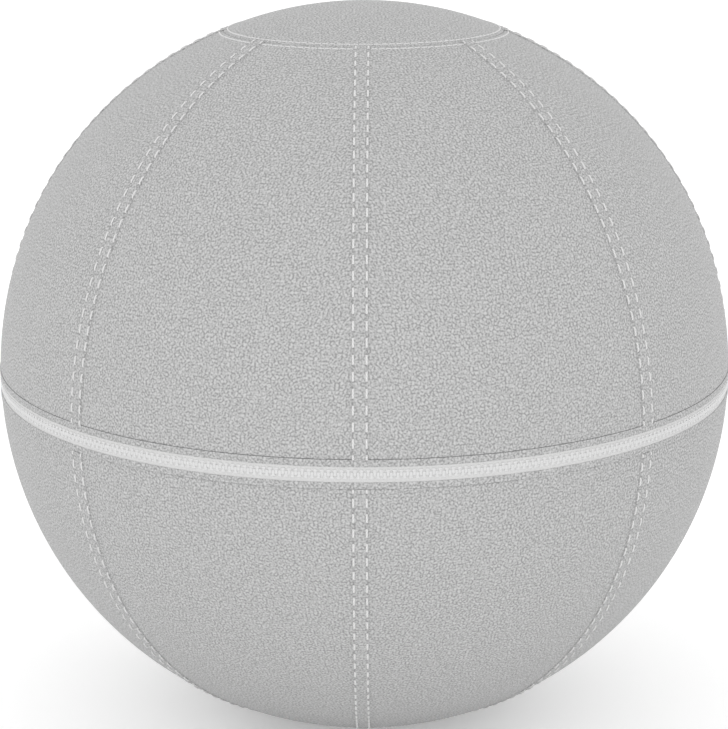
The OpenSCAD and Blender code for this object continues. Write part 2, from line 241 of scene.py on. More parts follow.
print("pressing, thickening and copying ready")

# %% [markdown]
# ## Pebbled leather grain
# Upholstery leather is embossed with small pebbles, parted by a net of fine valleys, while it
# lies flat. So the grain is drawn on each piece's own flat map, in metres: a Voronoi texture
# gives the net, and a fine noise breaks up each pebble. The effect is a group, because the
# panels, strips and facings all use it.

# %% Node helpers
def new_group(name, inputs, outputs):
    group = bpy.data.node_groups.new(name, "ShaderNodeTree")
    for label, kind, default in inputs:
        socket = group.interface.new_socket(name=label, in_out="INPUT", socket_type=kind)
        if default is not None:
            socket.default_value = default
    for label, kind in outputs:
        group.interface.new_socket(name=label, in_out="OUTPUT", socket_type=kind)
    return group


def add_node(tree, kind, settings=None, **links):
    node = tree.nodes.new(kind)
    for key, value in (settings or {}).items():
        setattr(node, key, value)
    for key, value in links.items():
        put(tree, node, key.replace("_", " "), value)
    return node


def put(tree, node, key, value):
    socket = node.inputs[int(key)] if key.isdigit() else node.inputs[key]
    if isinstance(value, bpy.types.NodeSocket):
        tree.links.new(value, socket)
    else:
        socket.default_value = value


def maths(tree, operation, a, b=0.0, clamp=False):
    node = tree.nodes.new("ShaderNodeMath")
    node.operation = operation
    node.use_clamp = clamp
    put(tree, node, "0", a)
    put(tree, node, "1", b)
    return node.outputs[0]


def scaled(tree, value, factor, offset=0.0):
    node = tree.nodes.new("ShaderNodeMath")
    node.operation = "MULTIPLY_ADD"
    put(tree, node, "0", value)
    put(tree, node, "1", factor)
    put(tree, node, "2", offset)
    return node.outputs[0]


def blend_colours(tree, factor, a, b):
    node = tree.nodes.new("ShaderNodeMix")
    node.data_type = "RGBA"
    put(tree, node, "0", factor)
    put(tree, node, "6", a)
    put(tree, node, "7", b)
    return node.outputs[2]


def grey(level, warmth=0.0):
    """A grey written as its screen value from 0 to 255, slightly warm or cool."""
    def linear(v):
        v = v / 255
        return v / 12.92 if v <= 0.04045 else ((v + 0.055) / 1.055) ** 2.4
    return (linear(level + warmth), linear(level), linear(level - warmth), 1)


print("node helpers ready")

# %% Grain group
PEBBLES_PER_M = 320
SPECKS_PER_M = 600
grain = new_group(
    "pebbled_grain", [("Vector", "NodeSocketVector", None)],
    [("Height", "NodeSocketFloat"), ("Tone", "NodeSocketFloat")])
inside, outside = grain.nodes.new("NodeGroupInput"), grain.nodes.new("NodeGroupOutput")
flat_map = inside.outputs["Vector"]
net = add_node(grain, "ShaderNodeTexVoronoi",
               {"voronoi_dimensions": "2D", "feature": "DISTANCE_TO_EDGE"},
               Vector=flat_map, Scale=PEBBLES_PER_M)
pebbles = add_node(grain, "ShaderNodeTexVoronoi", {"voronoi_dimensions": "2D"},
                   Vector=flat_map, Scale=PEBBLES_PER_M)
specks = add_node(grain, "ShaderNodeTexNoise", {"noise_dimensions": "2D"},
                  Vector=flat_map, Scale=SPECKS_PER_M, Detail=0.0)
dome = add_node(grain, "ShaderNodeMapRange", {"interpolation_type": "SMOOTHSTEP"})
put(grain, dome, "Value", net.outputs["Distance"])
put(grain, dome, "From Max", 0.35)
each = add_node(grain, "ShaderNodeSeparateColor", {}, Color=pebbles.outputs["Color"])
# The Tone output is darker in the valleys between the domes, which is painted shade; the specks and
# each pebble's own value add random tone.
tone = scaled(grain, dome.outputs["Result"], 0.5, 0.2)
tone = maths(grain, "ADD", tone, scaled(grain, specks.outputs["Fac"], 1.4, -0.7))
tone = maths(grain, "ADD", tone, scaled(grain, each.outputs[0], 0.15, -0.075), True)
height = maths(grain, "ADD", dome.outputs["Result"], scaled(grain, specks.outputs["Fac"], 0.4))
grain.links.new(height, outside.inputs["Height"])
deep = maths(grain, "POWER", tone, 0.72)
grain.links.new(deep, outside.inputs["Tone"])
print("grain group has", len(grain.nodes), "nodes")

# %% [markdown]
# The leather itself is a satin, pale grey, a little darker in the valleys, which is painted
# shade. Where a needle pulls the leather in, and on the ply below a cut edge, a point attribute
# paints shade into the colour.

# %% Leather material
def new_material(name):
    material = bpy.data.materials.new(name)
    material.use_nodes = True
    tree = material.node_tree
    return material, tree, tree.nodes["Principled BSDF"]


def leather_material(name, level, contrast):
    material, tree, shader = new_material(name)
    flat_map = tree.nodes.new("ShaderNodeTexCoord").outputs["UV"]
    grained = tree.nodes.new("ShaderNodeGroup")
    grained.node_tree = grain
    put(tree, grained, "Vector", flat_map)
    dyed = blend_colours(tree, grained.outputs["Tone"], grey(level - contrast),
                         grey(level + contrast))
    # Painted shade: the attribute darkens the colour towards a dark grey.
    painted_shade = add_node(tree, "ShaderNodeAttribute", {"attribute_name": "painted_shade"})
    with_painted_shade = blend_colours(tree, painted_shade.outputs["Fac"], dyed, grey(118))
    tree.links.new(with_painted_shade, shader.inputs["Base Color"])
    rough = add_node(tree, "ShaderNodeMapRange")
    put(tree, rough, "Value", grained.outputs["Tone"])
    put(tree, rough, "To Min", 0.68)
    put(tree, rough, "To Max", 0.54)
    tree.links.new(rough.outputs["Result"], shader.inputs["Roughness"])
    bump = add_node(tree, "ShaderNodeBump", {}, Strength=0.5, Distance=0.3 * MM)
    put(tree, bump, "Height", grained.outputs["Height"])
    tree.links.new(bump.outputs["Normal"], shader.inputs["Normal"])
    shader.inputs["Specular IOR Level"].default_value = 0.3
    return material


def write_map(obj, across, along):
    """Stores each point's place on the flat cutting pattern, in metres, as the piece's UV map."""
    mesh = obj.data
    layer = mesh.uv_layers.active or mesh.uv_layers.new(name="UVMap")
    loops = np.zeros(len(mesh.loops), int)
    mesh.loops.foreach_get("vertex_index", loops)
    layer.data.foreach_set("uv", np.stack([across[loops], along[loops]], axis=1).ravel())


def gore_map(obj, azimuth, number):
    """The flat pattern of a piece that runs up the ball, about the seam or middle at azimuth."""
    at = points(obj) - np.array(CENTRE)
    out = np.hypot(at[:, 0], at[:, 1])
    turn = np.angle(np.exp(1j * (np.arctan2(at[:, 1], at[:, 0]) - azimuth)))
    write_map(obj, turn * out + number * 0.37, np.arctan2(at[:, 2], out) * BALL_R)


def cap_map(obj):
    """A round piece flattened about the pole."""
    at = points(obj) - np.array(CENTRE)
    out = np.hypot(at[:, 0], at[:, 1])
    spread = np.arctan2(out, np.abs(at[:, 2])) * BALL_R / np.maximum(out, 0.001 * MM)
    write_map(obj, at[:, 0] * spread, at[:, 1] * spread)


leather = leather_material("pebbled_leather", 180, 26)
print("leather ready")

# %% [markdown]
# ## Sewing thread
# Thick polyester thread has three plies twisted together. Every stitch below starts as a
# cylinder, whose own UV map runs round it and along it, so slanted bands on that map make the
# twist, and they stay with the stitch when it is copied.

# %% Thread, tape and teeth materials
PLIES = 3.0
TWISTS = 5.0


def thread_material(name, level):
    material, tree, shader = new_material(name)
    uv = tree.nodes.new("ShaderNodeTexCoord").outputs["UV"]
    parts = add_node(tree, "ShaderNodeSeparateXYZ", {}, Vector=uv)
    around = maths(tree, "MULTIPLY", parts.outputs["X"], PLIES)
    twist = maths(tree, "MULTIPLY", parts.outputs["Y"], TWISTS)
    phase = maths(tree, "MULTIPLY", maths(tree, "ADD", around, twist), 2 * math.pi)
    ply = maths(tree, "ABSOLUTE", maths(tree, "SINE", maths(tree, "MULTIPLY", phase, 0.5)))
    tone = blend_colours(tree, ply, grey(level - 26), grey(level, 0.5))
    tree.links.new(tone, shader.inputs["Base Color"])
    bump = add_node(tree, "ShaderNodeBump", {}, Strength=0.7, Distance=0.2 * MM)
    put(tree, bump, "Height", ply)
    tree.links.new(bump.outputs["Normal"], shader.inputs["Normal"])
    shader.inputs["Roughness"].default_value = 0.6
    shader.inputs["Sheen Weight"].default_value = 0.2
    return material


def woven_material(name, level, contrast, thread_width=0.45 * MM):
    """Threads that cross: bands round the ball and bands up it, in turn on top."""
    material, tree, shader = new_material(name)
    uv = tree.nodes.new("ShaderNodeTexCoord").outputs["UV"]
    parts = add_node(tree, "ShaderNodeSeparateXYZ", {}, Vector=uv)
    across = maths(tree, "MULTIPLY", parts.outputs["X"], math.pi / thread_width)
    up = maths(tree, "MULTIPLY", parts.outputs["Y"], math.pi / thread_width)
    warp = maths(tree, "ABSOLUTE", maths(tree, "SINE", across))
    weft = maths(tree, "ABSOLUTE", maths(tree, "SINE", up))
    over = maths(tree, "MULTIPLY", maths(tree, "SINE", across), maths(tree, "SINE", up))
    chosen = maths(tree, "GREATER_THAN", over, 0.0)
    mix = add_node(tree, "ShaderNodeMix", {"data_type": "FLOAT"})
    put(tree, mix, "0", chosen)
    put(tree, mix, "2", warp)
    put(tree, mix, "3", weft)
    cloth = mix.outputs[0]
    tone = blend_colours(tree, cloth, grey(level - contrast), grey(level, 0.4))
    tree.links.new(tone, shader.inputs["Base Color"])
    bump = add_node(tree, "ShaderNodeBump", {}, Strength=0.6, Distance=0.15 * MM)
    put(tree, bump, "Height", cloth)
    tree.links.new(bump.outputs["Normal"], shader.inputs["Normal"])
    shader.inputs["Roughness"].default_value = 0.8
    shader.inputs["Sheen Weight"].default_value = 0.25
    return material


def moulded_material(name, level, roughness=0.35):
    """Injection-moulded plastic: nearly even, with a faint flow of tone and polish."""
    material, tree, shader = new_material(name)
    place_of = tree.nodes.new("ShaderNodeTexCoord").outputs["Object"]
    flow = add_node(tree, "ShaderNodeTexNoise", {}, Vector=place_of, Scale=240.0, Detail=2.0)
    tone = blend_colours(tree, flow.outputs["Fac"], grey(level - 3), grey(level + 3))
    tree.links.new(tone, shader.inputs["Base Color"])
    polish = add_node(tree, "ShaderNodeMapRange")
    put(tree, polish, "Value", flow.outputs["Fac"])
    put(tree, polish, "To Min", roughness - 0.05)
    put(tree, polish, "To Max", roughness + 0.08)
    tree.links.new(polish.outputs["Result"], shader.inputs["Roughness"])
    return material


thread = thread_material("polyester_thread", 236)
tape_cloth = woven_material("zip_tape_cloth", 227, 8)
tooth_plastic = moulded_material("zip_tooth_plastic", 220)
print("thread, tape and teeth ready")

# %% [markdown]
# ## Leather panels
# A panel is a gore: a slice of the ball between two upright seams, from the zip up to the cap.
# We add a fine sphere and bisect it with the planes of the seams, the zip's opening and the
# cap, then thicken it inwards. The edges are beveled, because a cut leather edge is rounded
# with the burnishing tool. Near the seams the thread pulls the leather in by a little.

# %% One panel
def seam_plane(obj, azimuth, inset, side):
    """Cuts at an upright plane through the axis, moved in by inset; side is -1 or 1."""
    normal = Vector((-math.sin(azimuth), math.cos(azimuth), 0)) * side
    cut(obj, CENTRE - normal * inset, normal)


def sphere_skin(name, radius, segments=384, rings=192):
    bpy.ops.object.select_all(action="DESELECT")
    bpy.ops.mesh.primitive_uv_sphere_add(segments=segments, ring_count=rings, radius=radius,
                                         location=CENTRE)
    obj = bpy.context.view_layer.objects.active
    obj.name = name
    place(obj)
    return obj


SEAM_PULL = 0.25 * MM
CAP_PULL = 0.12 * MM
EDGE_ROUND = 0.15 * MM
cap_level = CENTRE + Vector((0, 0, BALL_R * math.cos(CAP_ANGLE)))
panel = sphere_skin("upper_leather_1", BALL_R)
seam_plane(panel, FRONT, SEAM_GAP / 2, -1)
seam_plane(panel, FRONT + PANEL_ANGLE, SEAM_GAP / 2, 1)
cut(panel, CENTRE + Vector((0, 0, PANEL_EDGE)), (0, 0, -1))
cut(panel, cap_level - Vector((0, 0, CAP_GAP / 2)), (0, 0, 1))


def seam_distance(place_of):
    """Distance of each point from the nearest upright seam, along the surface."""
    azimuth = np.arctan2(place_of[:, 1], place_of[:, 0]) - FRONT
    off = np.abs((azimuth / PANEL_ANGLE) - np.round(azimuth / PANEL_ANGLE)) * PANEL_ANGLE
    return np.sin(off) * np.hypot(place_of[:, 0], place_of[:, 1])


where = points(panel)
from_cap = np.abs(np.arcsin((where[:, 2] - CENTRE.z) / BALL_R) * BALL_R - CAP_ARC)
pull = np.maximum(1 - ramp(seam_distance(where), 3.2 * MM, 6.3 * MM),
                  0.5 * (1 - ramp(from_cap, 0.5 * MM, 3.2 * MM)))
press(panel, SEAM_PULL, pull)
thicken(panel, LEATHER, EDGE_ROUND)
settle(panel)
smooth(panel)
print("one panel:", triangles(panel), "triangles")

# %% [markdown]
# The other panels are copies with meshes of their own. The lower half is the mirror image of
# the upper one, because both are cut with the same pattern. Each is leather that was cut flat
# and is held stretched over the padding.

# %% All panels
for half, mirrored in (("upper", False), ("lower", True)):
    for number in range(1, SEAMS + 1):
        name = f"{half}_leather_{number}"
        turn = (number - 1) * PANEL_ANGLE
        piece = panel if name == panel.name else twin(panel, name, turn, mirrored)
        gore_map(piece, FRONT + (number - 0.5) * PANEL_ANGLE, number)
        finish_piece(piece, leather, "cover", "leather", f"{half}_panel_{number}")
print("panels:", 2 * SEAMS)

# %% [markdown]
# ## Caps
# The cap is a round piece that closes the pole, where eight points would meet in a thick
# knot. It is sewn edge to edge to the panels. The lower cap is the one that the ball stands
# on: the ball's weight presses it flat, so its points below the floor are scaled to the floor.

# %% Both caps
cap = sphere_skin("top_leather_cap", BALL_R)
cut(cap, cap_level + Vector((0, 0, CAP_GAP / 2)), (0, 0, -1))
where = points(cap)
from_cap = np.arcsin((where[:, 2] - CENTRE.z) / BALL_R) * BALL_R - CAP_ARC
press(cap, CAP_PULL, 1 - ramp(from_cap, 0.5 * MM, 3.2 * MM))
foot = twin(cap, "bottom_leather_cap", mirrored=True)
choose(foot)
bpy.ops.mesh.bisect(plane_co=(0, 0, 0), plane_no=(0, 0, 1))
leave()
choose(foot, points(foot)[:, 2] < 0.001 * MM)
bpy.ops.transform.resize(value=(1, 1, 0), center_override=(0, 0, 0))
leave()
for piece, node, rests in ((cap, "top_cap", "upper_padding"),
                           (foot, "bottom_cap", "lower_padding")):
    thicken(piece, LEATHER, EDGE_ROUND)
    settle(piece)
    smooth(piece)
    cap_map(piece)
    finish_piece(piece, leather, "cover", "leather", node)
print("caps:", triangles(cap), "and", triangles(foot), "triangles")

# %% [markdown]
# ## Stitch places
# The long stitches of a seam are spaced evenly along it. Places are arc lengths from the
# equator. Near the zip and at the cap a stitch is cut short by the edge, as on the real seam.

# %% Where the stitches lie
PITCH = 12.88 * MM
STITCH = 7.5 * MM
upper_stitches = [(24.5 * MM + n * PITCH, STITCH) for n in range(28)]
upper_stitches += [(13.6 * MM, 4.2 * MM), (CAP_ARC - 1.9 * MM, 4.2 * MM)]
lower_stitches = [(23.1 * MM + n * PITCH, STITCH) for n in range(28)]
lower_stitches += [(13.6 * MM, 3.3 * MM), (CAP_ARC - 1.9 * MM, 4.2 * MM)]
print("stitches in a row:", len(upper_stitches))

# %% [markdown]
# ## Seam strips
# A strip of leather covers each upright seam. We draw its section, a flat rectangle with
# skived outer corners, and spin it round the ball's centre, so that its rings run along the
# seam. Pressing comes after: a shallow groove under each row, a pit where the needle went in,
# and the thinned end at the cap.

# %% Spinning a section round the ball
def section(name, r_in, r_out, half_width, corner, across):
    """A flat section in the level plane through the centre, its outer face cut across."""
    bpy.ops.object.select_all(action="DESELECT")
    bpy.ops.mesh.primitive_plane_add(size=1, location=CENTRE + Vector(((r_in + r_out) / 2, 0, 0)))
    obj = bpy.context.view_layer.objects.active
    obj.name = name
    obj.scale = (r_out - r_in, 2 * half_width, 1)
    place(obj)
    choose(obj, points(obj)[:, 0] > (r_in + r_out) / 2)
    bpy.ops.mesh.bevel(offset=corner, segments=3, affect="VERTICES")
    leave()
    at = points(obj)
    choose(obj, (at[:, 0] > r_out - 0.001 * MM))
    bpy.ops.mesh.subdivide(number_cuts=across)
    leave()
    return obj


def spin_section(obj, start, end, steps):
    """Sweeps the section upwards round the ball's centre, from a starting angle to an end."""
    choose(obj)
    bpy.ops.mesh.spin(steps=steps, angle=end - start, center=CENTRE, axis=(0, 1, 0))
    leave()
    obj.location = -CENTRE
    place(obj)
    obj.rotation_euler = (0, -start, 0)
    place(obj)
    obj.location = CENTRE
    return settle(obj)


SKIVE = 0.84 * MM
HOLE_R = 0.9 * MM
PUCKER = 2.0 * MM


def seam_strip(name, stitches):
    """One strip on the seam at azimuth 0, with the marks that its stitches leave."""
    low = math.asin(FACING_EDGE / BALL_R)
    high = (CAP_ARC + STRIP_OVER) / BALL_R
    strip = section(name, STRIP_OUT - STRIP, STRIP_OUT, STRIP_HALF, SKIVE, 19)
    spin_section(strip, low, high, 250)
    at = points(strip)
    arc = np.arctan2(at[:, 2] - CENTRE.z, at[:, 0]) * BALL_R
    skin = ramp(np.linalg.norm(at - np.array(CENTRE), axis=1), STRIP_OUT - 0.7 * MM,
                STRIP_OUT - 0.2 * MM)
    side = np.abs(at[:, 1])
    holes = np.zeros(len(at))
    pucker = np.zeros(len(at))
    for middle, length in stitches:
        for end in (-1, 1):
            gap = arc - (middle + end * (length / 2 + 0.5 * MM))
            holes = np.maximum(holes, np.exp(-(gap ** 2 + (side - ROW) ** 2) / HOLE_R ** 2))
        between = np.abs(np.abs(arc - middle) - PITCH / 2)
        pucker = np.maximum(pucker, np.exp(-(between / PUCKER) ** 2)
                            * ramp(side, ROW - 0.8 * MM, ROW + 0.4 * MM))
    groove = np.exp(-((side - ROW) / (1.0 * MM)) ** 2)
    press(strip, 0.22 * MM, groove * skin)
    press(strip, 0.4 * MM, holes * skin)
    press(strip, 0.12 * MM, pucker * skin)
    press(strip, 0.6 * MM, ramp(arc, CAP_ARC - 3 * MM, CAP_ARC + 2.4 * MM) * skin)
    # Painted shade in the needle holes and, faintly, beside the puckers; the pits themselves are
    # pressed in above.
    painted_shade = strip.data.attributes.new("painted_shade", "FLOAT", "POINT")
    dark = np.clip((0.55 * holes + 0.06 * pucker) * skin, 0, 0.7)
    painted_shade.data.foreach_set("value", dark.astype(np.float32))
    smooth(strip, 50)
    return strip


print("strips can be made")

# %% All strips
for half, stitches in (("upper", upper_stitches), ("lower", lower_stitches)):
    model = seam_strip(f"{half}_strip_model", stitches)
    for number in range(1, SEAMS + 1):
        turn = FRONT + (number - 1) * PANEL_ANGLE
        piece = twin(model, f"{half}_strip_{number}", turn, half == "lower")
        smooth(piece, 50)
        gore_map(piece, turn, number + SEAMS)
        finish_piece(piece, leather, "cover", "leather", f"{half}_seam_strip_{number}")
    print(half, "strips:", triangles(model), "triangles each")
    bpy.data.objects.remove(model)

# %% [markdown]
# ## Stitches
# One stitch is a short cylinder, pulled flat by the tension of the thread, that bends down at
# both ends, where it goes through the leather. An Array modifier, with an empty turned about
# the ball's centre, repeats it along the seam. That is how the real machine works too: the
# same stitch at the same pitch.

# %% One stitch, and rows of it
THREAD = 1.7 * MM
CAP_THREAD = 1.4 * MM
THREAD_PROUD = 0.2 * MM
FLATTENED = 0.6
BEND = 0.75 * MM


def stitch(name, length, reach, across=0.0, thickness=THREAD):
    """A stitch at the equator that runs upwards, its middle at reach from the centre."""
    bpy.ops.object.select_all(action="DESELECT")
    bpy.ops.mesh.primitive_cylinder_add(vertices=8, radius=thickness / 2, depth=length,
                                        end_fill_type="NGON", location=(0, 0, 0))
    obj = bpy.context.view_layer.objects.active
    obj.name = name
    only(obj)
    bpy.ops.object.mode_set(mode="EDIT")
    bpy.ops.mesh.select_mode(type="EDGE")
    bpy.ops.mesh.select_all(action="DESELECT")
    leave()
    for edge in obj.data.edges:
        a, b = (obj.data.vertices[i].co.z for i in edge.vertices)
        edge.select = abs(a - b) > length / 2
    bpy.ops.object.mode_set(mode="EDIT")
    bpy.ops.mesh.subdivide(number_cuts=5)
    leave()
    obj.scale = (FLATTENED, 1, 1)
    place(obj)
    along = np.abs(points(obj)[:, 2]) / (length / 2)
    press(obj, BEND, ramp(along, 0.6, 1.0), "X")
    obj.location = (reach, across, 0)
    return place(obj)


def repeat(obj, count, turn):
    """Repeats the object about the centre; turn is a rotation in radians about X, Y and Z."""
    bpy.ops.object.empty_add(location=(0, 0, 0), rotation=turn)
    hand = bpy.context.view_layer.objects.active
    modifier = obj.modifiers.new("row", "ARRAY")
    modifier.count = count
    modifier.use_relative_offset = False
    modifier.use_object_offset = True
    modifier.offset_object = hand
    apply_all(obj)
    bpy.data.objects.remove(hand)


def join(parts, name):
    bpy.ops.object.select_all(action="DESELECT")
    for part in parts:
        part.select_set(True)
    bpy.context.view_layer.objects.active = parts[0]
    bpy.ops.object.join()
    parts[0].name = name
    return parts[0]


def tilt(obj, turn):
    obj.rotation_euler = turn
    return place(obj)


def seam_rows(name, stitches, mirrored):
    reach = STRIP_OUT + THREAD_PROUD
    parts = []
    full = [middle for middle, length in stitches if length == STITCH]
    short = [(middle, length) for middle, length in stitches if length != STITCH]
    for side in (-1, 1):
        row = stitch("row", STITCH, reach, side * ROW)
        tilt(row, (0, -full[0] / BALL_R, 0))
        repeat(row, len(full), (0, -PITCH / BALL_R, 0))
        parts.append(row)
        for middle, length in short:
            one = stitch("short", length, reach, side * ROW)
            parts.append(tilt(one, (0, -middle / BALL_R, 0)))
    rows = join(parts, name)
    tilt(rows, (0, 0, FRONT))
    repeat(rows, SEAMS, (0, 0, PANEL_ANGLE))
    if mirrored:
        rows.scale = (1, 1, -1)
    rows.location = CENTRE
    return settle(rows)


for half, stitches in (("upper", upper_stitches), ("lower", lower_stitches)):
    rows = seam_rows(f"{half}_seam_stitches", stitches, half == "lower")
    smooth(rows, 60)
    finish_piece(rows, thread, "cover", "thread", f"{half}_seam_threads")
    print(half, "seam stitches:", triangles(rows), "triangles")

# %% [markdown]
# The cap's seam has a row on each side, with shorter stitches that almost touch. The row on
# the cap runs right round. The row on the panels stops at each strip.

# %% Cap stitches
CAP_PITCH = 6.2 * MM
CAP_STITCH = 5.9 * MM


def ring_stitch(from_seam):
    """One short stitch that lies across the front seam, at a distance from the cap's seam."""
    one = stitch("ring", CAP_STITCH, BALL_R + THREAD_PROUD, thickness=CAP_THREAD)
    tilt(one, (math.pi / 2, 0, 0))
    return tilt(one, (0, CAP_ANGLE + from_seam / BALL_R - math.pi / 2, 0))


def cap_rings(name, mirrored):
    inner = ring_stitch(-CAP_ROW)
    inner_round = 2 * math.pi * BALL_R * math.sin(CAP_ANGLE - CAP_ROW / BALL_R)
    count = round(inner_round / CAP_PITCH)
    repeat(inner, count, (0, 0, 2 * math.pi / count))
    outer = ring_stitch(CAP_ROW)
    ring_r = BALL_R * math.sin(CAP_ANGLE + CAP_ROW / BALL_R)
    free = PANEL_ANGLE - 2 * (STRIP_HALF + 0.6 * MM) / ring_r
    between = round(free * ring_r / CAP_PITCH)
    step = free / between
    tilt(outer, (0, 0, (PANEL_ANGLE - free + step) / 2))
    repeat(outer, between, (0, 0, step))
    repeat(outer, SEAMS, (0, 0, PANEL_ANGLE))
    rings = join([inner, outer], name)
    rings.rotation_euler = (0, 0, FRONT)
    if mirrored:
        rings.scale = (1, 1, -1)
    rings.location = CENTRE
    return settle(rings)


for end, mirrored in (("top", False), ("bottom", True)):
    rings = cap_rings(f"{end}_cap_stitches", mirrored)
    smooth(rings, 60)
    finish_piece(rings, thread, "cover", "thread", f"{end}_cap_threads")
    print(end, "cap stitches:", triangles(rings), "triangles")

# %% [markdown]
# ## Zip
# Two leather facings frame the opening. A facing stands a little proud beside the zip, and is
# folded in under the panels' edge, where it is sewn. The woven tapes lie under the facings and
# take the same fold, with the teeth moulded on their free edges. We draw each section with
# edge extrusions, and spin it a whole turn round the ball.

# %% Sections of the zip
def flat_section(name, r_in, r_out, low, high):
    """A rectangle in the upright plane at azimuth 0."""
    bpy.ops.object.select_all(action="DESELECT")
    middle = CENTRE + Vector(((r_in + r_out) / 2, 0, (low + high) / 2))
    bpy.ops.mesh.primitive_plane_add(size=1, rotation=(math.pi / 2, 0, 0), location=middle)
    obj = bpy.context.view_layer.objects.active
    obj.name = name
    obj.scale = (r_out - r_in, high - low, 1)
    return place(obj)


def near(value, target):
    return np.abs(value - target) < 0.001 * MM


def round_corners(obj, mask, corner, segments=2):
    choose(obj, mask)
    bpy.ops.mesh.bevel(offset=corner, segments=segments, affect="VERTICES")
    leave()


def band_section(name, r_in, r_out, low, high, corner):
    """A plain band's section, with every corner rounded."""
    obj = flat_section(name, r_in, r_out, low, high)
    round_corners(obj, np.ones(4, bool), corner)
    for level in np.linspace(low, high, 8)[1:-1]:
        choose(obj)
        bpy.ops.mesh.bisect(plane_co=(0, 0, CENTRE.z + level), plane_no=(0, 0, 1))
        leave()
    choose(obj)
    bpy.ops.mesh.dissolve_faces(use_verts=False)
    leave()
    return obj


def folded_section(name, r_out, r_under, thick, low, fold, high, corner, skive=0.0):
    """A band's section that folds in at the height fold, and runs on at a smaller radius.
    Its free edge can be skived, which is thinned from the outside with a knife."""
    obj = flat_section(name, r_out - thick, r_out, low, fold - thick)
    r_fold, z_fold = r_out - thick, CENTRE.z + fold

    def extrude(mask, move):
        choose(obj, mask)
        bpy.ops.mesh.extrude_region_move(TRANSFORM_OT_translate={"value": move})
        leave()

    extrude(near(points(obj)[:, 2], z_fold - thick), (0, 0, thick))
    at = points(obj)
    extrude(near(at[:, 0], r_fold) & (at[:, 2] > z_fold - 1.1 * thick), (r_under - r_fold, 0, 0))
    extrude(near(points(obj)[:, 0], r_under), (-thick, 0, 0))
    at = points(obj)
    extrude(near(at[:, 2], z_fold) & (at[:, 0] < r_under + 0.01 * MM), (0, 0, high - fold))
    choose(obj)
    bpy.ops.mesh.dissolve_faces(use_verts=False)
    leave()
    if skive:
        choose(obj)
        bpy.ops.mesh.bisect(plane_co=(0, 0, CENTRE.z + low + 1.6 * MM), plane_no=(0, 0, 1))
        bpy.ops.mesh.select_all(action="SELECT")
        bpy.ops.mesh.dissolve_faces(use_verts=False)
        leave()
        at = points(obj)
        choose(obj, near(at[:, 2], CENTRE.z + low) & near(at[:, 0], r_out))
        bpy.ops.transform.translate(value=(-skive, 0, 0))
        leave()
    at = points(obj)
    round_corners(obj, near(at[:, 2], z_fold) & near(at[:, 0], r_out), 0.3 * MM, 3)
    at = points(obj)
    ends = near(at[:, 2], CENTRE.z + low) | near(at[:, 2], CENTRE.z + high)
    round_corners(obj, ends, corner)
    return obj


def follow_ball(obj, r_level):
    """Moves each level of a section in, so that the section follows the ball's roundness."""
    levels = points(obj)[:, 2] - CENTRE.z
    for level in np.unique(np.round(levels, 7)):
        choose(obj, np.abs(points(obj)[:, 2] - CENTRE.z - level) < 0.001 * MM)
        inwards = math.sqrt(r_level ** 2 - level ** 2) - r_level
        bpy.ops.transform.translate(value=(inwards, 0, 0))
        leave()


def metres_uv(obj):
    """Writes arc length round the ball and height as the piece's own UV map."""
    mesh = obj.data
    at = points(obj)
    loops = np.zeros(len(mesh.loops), int)
    mesh.loops.foreach_get("vertex_index", loops)
    turn = np.arctan2(at[:, 1], at[:, 0])[loops]
    start = np.zeros(len(mesh.polygons), int)
    total = np.zeros(len(mesh.polygons), int)
    mesh.polygons.foreach_get("loop_start", start)
    mesh.polygons.foreach_get("loop_total", total)
    first = np.repeat(turn[start], total)
    turn -= 2 * math.pi * np.round((turn - first) / (2 * math.pi))
    layer = mesh.uv_layers.active or mesh.uv_layers.new(name="UVMap")
    uv = np.stack([turn * CHAIN_R, at[loops, 2] - CENTRE.z], axis=1)
    layer.data.foreach_set("uv", uv.ravel())


def ring(obj, r_out, start=0.0, end=2 * math.pi, steps=480):
    """Spins a section round the ball, a whole turn or from a starting angle to an end."""
    follow_ball(obj, r_out)
    whole = end - start > 2 * math.pi - 0.001
    if whole:
        choose(obj)
        bpy.ops.mesh.delete(type="ONLY_FACE")
        leave()
    choose(obj)
    bpy.ops.mesh.spin(steps=steps, angle=end - start, center=CENTRE, axis=(0, 0, -1))
    leave()
    obj.rotation_euler = (0, 0, start)
    place(obj)
    settle(obj)
    metres_uv(obj)
    smooth(obj)
    return obj


print("rings can be made")

